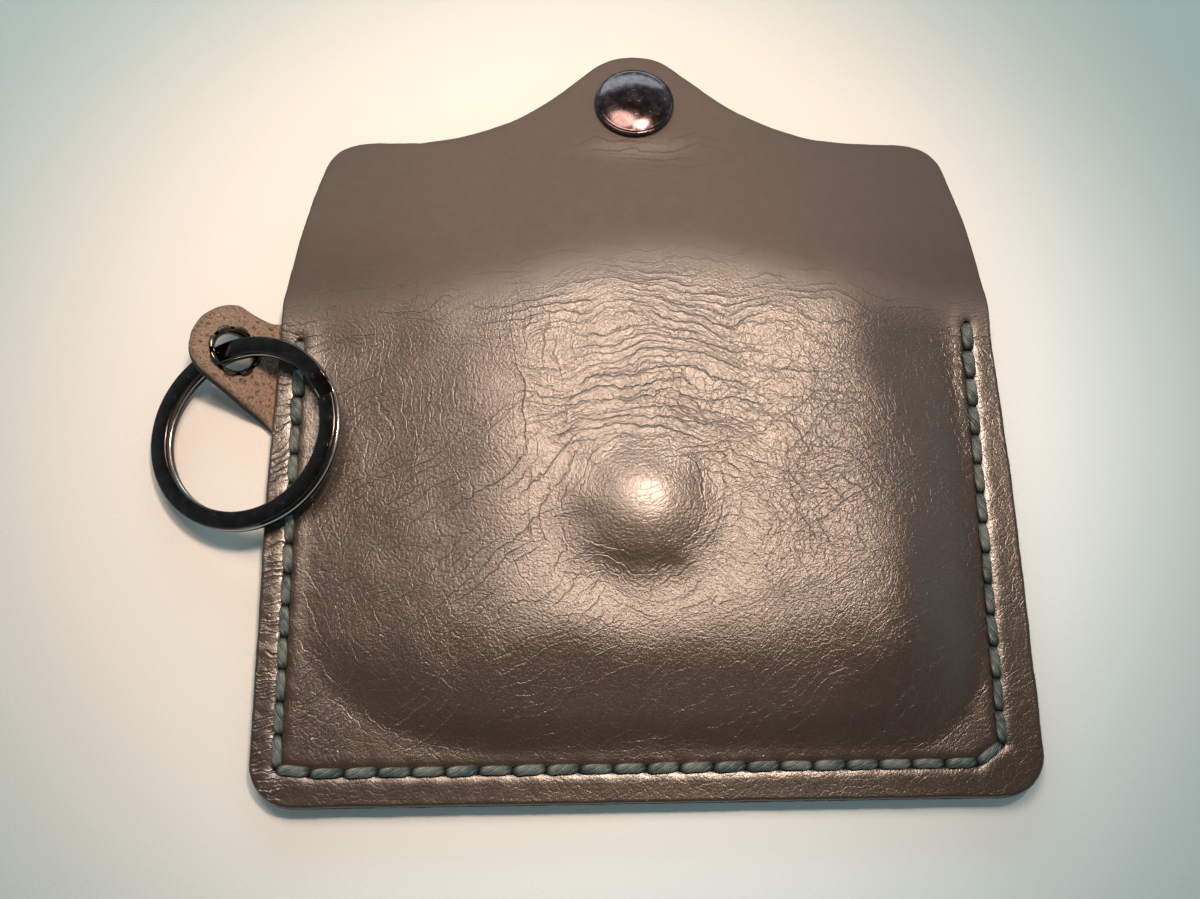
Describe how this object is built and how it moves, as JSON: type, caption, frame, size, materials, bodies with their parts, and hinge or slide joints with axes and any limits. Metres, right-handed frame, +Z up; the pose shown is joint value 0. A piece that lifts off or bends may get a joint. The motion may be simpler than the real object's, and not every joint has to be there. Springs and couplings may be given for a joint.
{
  "type": "keychain card wallet",
  "caption": "Flat stitched leather card wallet with a fold-over snap flap and a split key ring on a side tab.",
  "frame": {"origin": "on the front panel's flat rest face, on the wallet's centre line, 20 mm above its bottom edge", "axes": "+X across the wallet to the right with the back facing up, +Y from the bottom edge towards the flap, +Z up out of the back"},
  "size_m": [0.1159, 0.1066, 0.0091],
  "materials": {
    "grain_leather": "creased pebble grain, satin",
    "flesh_leather": "napped flesh side, matt",
    "waxed_thread": "waxed, multi-fibre",
    "dark_metal": "dark nickel plate, glossy",
    "inner_metal": "plain plated, satin"
  },
  "bodies": {
    "pocket": {"back_panel": "grain_leather", "fold_strip": "grain_leather", "front_panel": "flesh_leather", "seam_thread_a": "waxed_thread", "seam_thread_b": "waxed_thread", "snap_stud": "dark_metal", "stud_post": "inner_metal"},
    "flap": {"flap": "grain_leather", "snap_cap": "dark_metal", "cap_post": "inner_metal", "snap_socket": "dark_metal", "snap_spring": "inner_metal"},
    "tab": {"key_tab": "flesh_leather", "eyelet": "dark_metal"},
    "ring": {"split_ring": "dark_metal"}
  },
  "joints": [
    {"name": "flap_fold", "type": "hinge", "parent": "pocket", "child": "flap", "pos_m": [0, 0.0473, 0.00274], "axis": [-1, 0, 0], "range_deg": [0, 175.28], "deforming": ["fold_strip"]},
    {"name": "tab_bend", "type": "hinge", "parent": "pocket", "child": "tab", "pos_m": [-0.0503, 0.03976, 0], "axis": [0, -1, 0], "range_deg": [0, 70.73]},
    {"name": "ring_swing", "type": "hinge", "parent": "tab", "child": "ring", "pos_m": [-0.05546, 0.03976, 0.00387], "axis": [0, -1, 0], "range_deg": [0, 70]}
  ]
}
